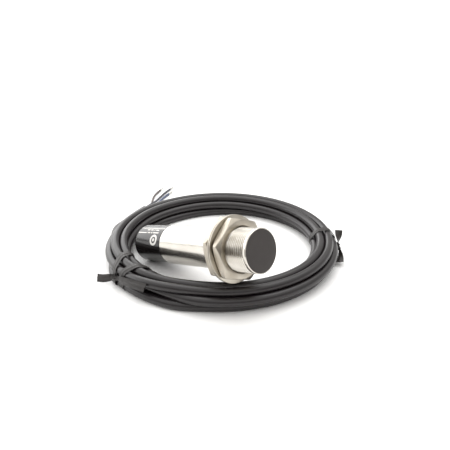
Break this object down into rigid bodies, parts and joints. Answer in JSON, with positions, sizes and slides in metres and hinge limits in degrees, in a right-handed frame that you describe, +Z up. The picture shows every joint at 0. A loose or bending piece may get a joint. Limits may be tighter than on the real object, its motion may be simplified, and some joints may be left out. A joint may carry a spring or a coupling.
{
  "type": "proximity sensor",
  "caption": "Cylindrical inductive proximity sensor with threaded metal barrel, hex nuts and lock washers, flush black sensing face and a tied coil of connecting cable with bare wire ends.",
  "frame": {"origin": "centre of the bounding box of the sensor without its cable, on the surface it stands on", "axes": "+Z up as it lies; +X along the barrel's heading towards the sensing face, which is raised 16.7 degrees; +Y across the barrel"},
  "size_m": [0.1493, 0.1181, 0.0394],
  "materials": {
    "nickel_plated_brass": "nickel plated, bright",
    "black_moulding": "moulded, fine matt",
    "black_gloss_moulding": "moulded, glossy",
    "ferrite": "sintered",
    "natural_nylon": "moulded",
    "copper": "enamelled wire and foil",
    "board_laminate": "solder mask",
    "component_black": "moulded",
    "amber_resin": "clear moulded",
    "potting": "cast",
    "seal_rubber": "moulded",
    "cable_jacket": "extruded, satin",
    "wire_brown": "extruded",
    "wire_black": "extruded",
    "wire_blue": "extruded",
    "tinned_copper": "tinned strands",
    "tie_plastic": "extruded over wire"
  },
  "bodies": {
    "sensor": {"barrel": "nickel_plated_brass", "sensing_cap": "black_moulding", "shield_ring": "copper", "ferrite_core": "ferrite", "coil_bobbin": "natural_nylon", "coil_winding": "copper", "circuit_board": "board_laminate", "oscillator_chip": "component_black", "trim_resistor": "component_black", "output_transistor": "component_black", "smoothing_capacitor": "amber_resin", "surge_diode": "component_black", "status_led": "amber_resin", "potting_resin": "potting", "rear_cap": "black_gloss_moulding", "cap_seal": "seal_rubber", "light_pipe": "amber_resin", "cable_grommet": "seal_rubber", "cable_stub": "cable_jacket", "crimp_sleeve": "tinned_copper", "inner_conductor_brown": "wire_brown", "inner_conductor_black": "wire_black", "inner_conductor_blue": "wire_blue", "cord_lead": "cable_jacket", "cord_coil": "cable_jacket", "cord_tail": "cable_jacket", "wire_brown": "wire_brown", "stripped_end_brown": "tinned_copper", "wire_black": "wire_black", "stripped_end_black": "tinned_copper", "wire_blue": "wire_blue", "stripped_end_blue": "tinned_copper", "left_tie": "tie_plastic", "right_tie": "tie_plastic"},
    "front_washer": {"front_washer": "nickel_plated_brass"},
    "front_nut": {"front_nut": "nickel_plated_brass"},
    "rear_washer": {"rear_washer": "nickel_plated_brass"},
    "rear_nut": {"rear_nut": "nickel_plated_brass"}
  },
  "joints": [
    {"name": "front_washer_slide", "type": "slide", "parent": "sensor", "child": "front_washer", "axis": [0.9578, 0, 0.2874], "range_m": [0, 0.009]},
    {"name": "front_nut_turn", "type": "hinge", "parent": "front_washer", "child": "front_nut", "pos_m": [0.02507, 0, 0.02604], "axis": [0.9578, 0, 0.2874], "range_deg": [0, 3240]},
    {"name": "rear_washer_slide", "type": "slide", "parent": "sensor", "child": "rear_washer", "axis": [0.9578, 0, 0.2874], "range_m": [-0.003, 0]},
    {"name": "rear_nut_turn", "type": "hinge", "parent": "rear_washer", "child": "rear_nut", "pos_m": [0.01942, 0, 0.02434], "axis": [0.9578, 0, 0.2874], "range_deg": [-1080, 0]}
  ],
  "couplings": [
    {"joint": "front_washer_slide", "follows": "front_nut_turn", "m_per_rad": 0.00015915},
    {"joint": "rear_washer_slide", "follows": "rear_nut_turn", "m_per_rad": 0.00015915}
  ]
}
